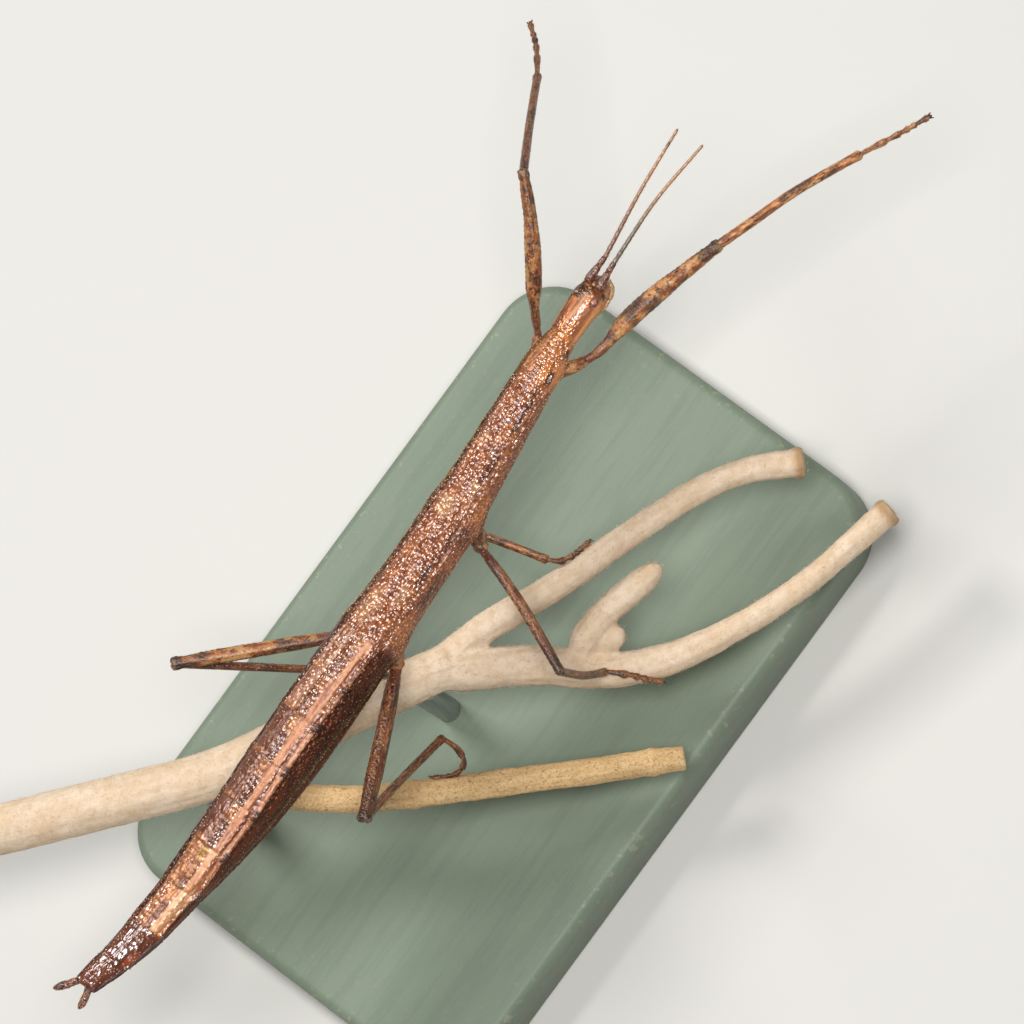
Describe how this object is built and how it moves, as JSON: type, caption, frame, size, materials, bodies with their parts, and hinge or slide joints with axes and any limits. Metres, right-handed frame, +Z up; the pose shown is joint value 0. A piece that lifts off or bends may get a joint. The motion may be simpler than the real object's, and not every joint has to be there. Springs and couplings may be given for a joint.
{
  "type": "stick insect",
  "caption": "Slender wingless stick insect, life size, reaching forward from a short forked length of felted twig that short rods hold over a flat base.",
  "frame": {"origin": "centre of the underside of the stand's base", "axes": "+X from the insect's tail towards its head, +Y to the insect's left, +Z up"},
  "size_m": [0.0945, 0.0452, 0.0339],
  "materials": {
    "body_cuticle": "glossy, finely granular insect cuticle, copper brown with dark flanks",
    "head_cuticle": "glossy orange-tan insect cuticle",
    "leg_cuticle": "glossy ochre insect cuticle with irregular dark bands",
    "antenna_cuticle": "satin tan insect cuticle in fine rings",
    "eye": "shiny pinkish brown with a dark crescent",
    "felted_bark": "matt, felted, pale beige bark with faint brown specks",
    "brown_bark": "matt tan bark with brown specks",
    "base_paint": "satin grey-green paint over wood",
    "rod_steel": "plain brushed steel"
  },
  "bodies": {
    "root": {"prothorax": "body_cuticle", "mesothorax": "body_cuticle", "metathorax": "body_cuticle", "abdomen_02": "body_cuticle", "abdomen_03": "body_cuticle", "abdomen_04": "body_cuticle", "abdomen_05": "body_cuticle", "abdomen_06": "body_cuticle", "abdomen_07": "body_cuticle", "abdomen_08": "body_cuticle", "abdomen_09": "body_cuticle", "abdomen_10": "body_cuticle", "subgenital_plate": "body_cuticle", "cercus_left": "body_cuticle", "cercus_right": "body_cuticle", "head": "head_cuticle", "mouthparts": "head_cuticle", "eye_left": "eye", "eye_right": "eye", "antenna_left_scape": "antenna_cuticle", "antenna_left_whip": "antenna_cuticle", "antenna_right_scape": "antenna_cuticle", "antenna_right_whip": "antenna_cuticle", "fore_left_coxa": "leg_cuticle", "fore_left_femur": "leg_cuticle", "fore_left_tibia": "leg_cuticle", "fore_left_tarsus": "leg_cuticle", "fore_right_coxa": "leg_cuticle", "fore_right_femur": "leg_cuticle", "fore_right_tibia": "leg_cuticle", "fore_right_tarsus": "leg_cuticle", "mid_left_coxa": "leg_cuticle", "mid_left_femur": "leg_cuticle", "mid_left_tibia": "leg_cuticle", "mid_left_tarsus": "leg_cuticle", "mid_right_coxa": "leg_cuticle", "mid_right_femur": "leg_cuticle", "mid_right_tibia": "leg_cuticle", "mid_right_tarsus": "leg_cuticle", "hind_left_coxa": "leg_cuticle", "hind_left_femur": "leg_cuticle", "hind_left_tibia": "leg_cuticle", "hind_left_tarsus": "leg_cuticle", "hind_right_coxa": "leg_cuticle", "hind_right_femur": "leg_cuticle", "hind_right_tibia": "leg_cuticle", "hind_right_tarsus": "leg_cuticle", "main_stem": "felted_bark", "upper_stalk": "felted_bark", "lower_stalk": "felted_bark", "bud_shoot": "felted_bark", "side_stem": "brown_bark", "stand_base": "base_paint", "stand_rod_front": "rod_steel", "stand_rod_rear": "rod_steel"}
  },
  "joints": []
}
